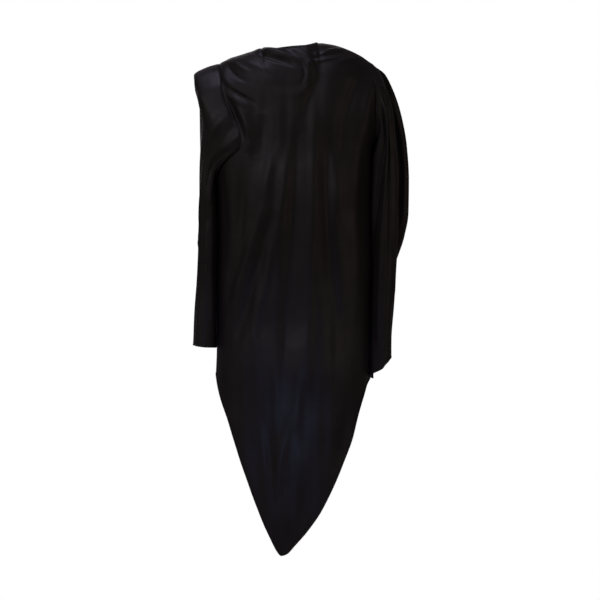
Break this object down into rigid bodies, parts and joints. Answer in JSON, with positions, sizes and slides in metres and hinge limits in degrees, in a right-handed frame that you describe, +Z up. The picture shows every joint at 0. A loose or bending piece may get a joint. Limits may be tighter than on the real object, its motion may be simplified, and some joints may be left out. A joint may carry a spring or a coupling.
{
  "type": "asymmetric draped top",
  "caption": "Long draped satin top with sleeves, shown worn and hollow, with a pointed front tail and a loose drape behind one sleeve.",
  "frame": {"origin": "midway between the outer ends of the two shoulder seams, where the wearer's shoulders hold the top", "axes": "+Z up, -Y towards the front of the garment, +X towards the side with the slanted cuff and the drape"},
  "size_m": [0.472, 0.2596, 1.0938],
  "materials": {
    "front_satin": "black silk satin, soft broad sheen",
    "back_satin": "black silk satin, soft broad sheen",
    "sleeve_satin": "black silk satin, soft broad sheen",
    "drape_satin": "black silk satin, soft broad sheen"
  },
  "bodies": {
    "root": {"front_panel": "front_satin", "back_panel": "back_satin", "sleeve_plain": "sleeve_satin", "sleeve_slanted": "sleeve_satin", "side_drape": "drape_satin"}
  },
  "joints": []
}
